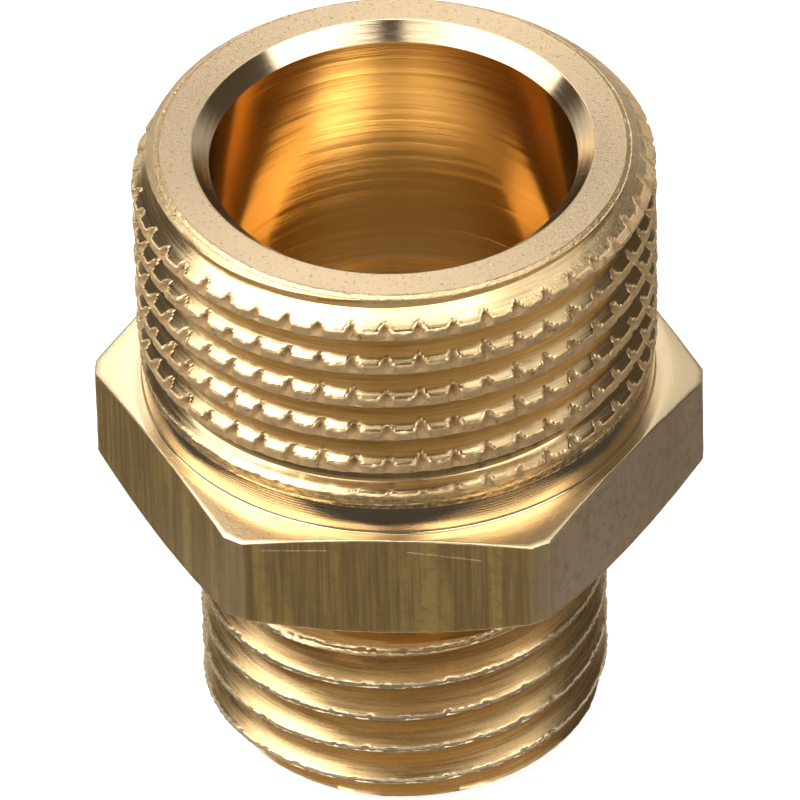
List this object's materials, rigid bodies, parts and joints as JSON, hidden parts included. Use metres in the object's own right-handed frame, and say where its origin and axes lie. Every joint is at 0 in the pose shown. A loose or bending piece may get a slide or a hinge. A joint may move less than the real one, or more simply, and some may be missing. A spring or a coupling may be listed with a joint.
{
  "type": "hex nipple",
  "caption": "Brass reducing hex nipple: a spanner hexagon with a large and a small externally threaded spigot and a stepped through bore.",
  "frame": {"origin": "centre of the bore in the plane of the small end's face, on which the fitting stands", "axes": "+Z along the bore from the small end to the large end; +X through a corner of the hexagon; -Y square to one of its flats"},
  "size_m": [0.0192, 0.017, 0.0222],
  "materials": {
    "drawn_brass": "drawn bar, tarnished",
    "turned_brass": "turned, bright",
    "threaded_brass": "cut thread over a knurl"
  },
  "bodies": {
    "root": {"hex_body": "drawn_brass", "large_collar": "turned_brass", "large_spigot": "turned_brass", "large_thread": "threaded_brass", "small_neck": "turned_brass", "small_spigot": "turned_brass", "small_thread": "threaded_brass"}
  },
  "joints": []
}
